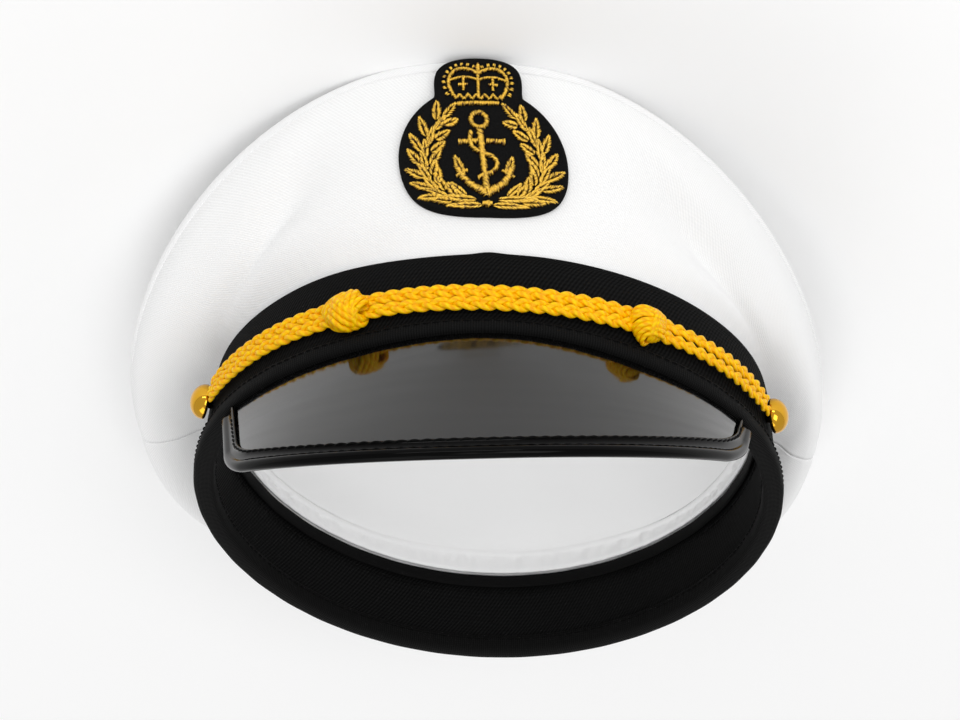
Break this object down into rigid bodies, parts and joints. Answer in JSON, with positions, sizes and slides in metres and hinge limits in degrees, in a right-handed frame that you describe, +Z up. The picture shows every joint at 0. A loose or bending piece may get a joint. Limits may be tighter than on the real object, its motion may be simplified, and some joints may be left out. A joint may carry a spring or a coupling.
{
  "type": "captain hat",
  "caption": "Soft white captain hat with a black band, glossy visor, gold cord and embroidered anchor badge, set down on its crown with the head opening up.",
  "frame": {"origin": "middle of the box's foot, on the table that the crown rests on", "axes": "+Z up from the table, out of the head opening; -Y towards the hat's front, where the visor and badge are"},
  "size_m": [0.2186, 0.2372, 0.1398],
  "materials": {
    "white_twill": "matt cotton twill",
    "lining_cloth": "smooth white lining cloth",
    "black_twill": "matt black twill",
    "smooth_tape": "smooth black tape",
    "gloss_plastic": "high gloss black",
    "gold_cord": "braided golden yellow cord",
    "brass": "polished",
    "black_felt": "black felt",
    "gold_thread": "shiny gold embroidery thread"
  },
  "bodies": {
    "root": {"crown_top_panel": "white_twill", "crown_front_panel": "white_twill", "crown_back_panel": "white_twill", "lining": "lining_cloth", "hat_band": "black_twill", "sweatband": "black_twill", "sweatband_tape": "smooth_tape", "rim_binding": "black_twill", "visor": "gloss_plastic", "visor_edging": "gloss_plastic", "cord_upper": "gold_cord", "cord_lower": "gold_cord", "knot_left": "gold_cord", "knot_right": "gold_cord", "button_left": "brass", "button_right": "brass", "badge_wreath_left": "gold_thread", "badge_wreath_right": "gold_thread", "badge_backing": "black_felt", "badge_anchor": "gold_thread", "badge_crown": "gold_thread"}
  },
  "joints": []
}
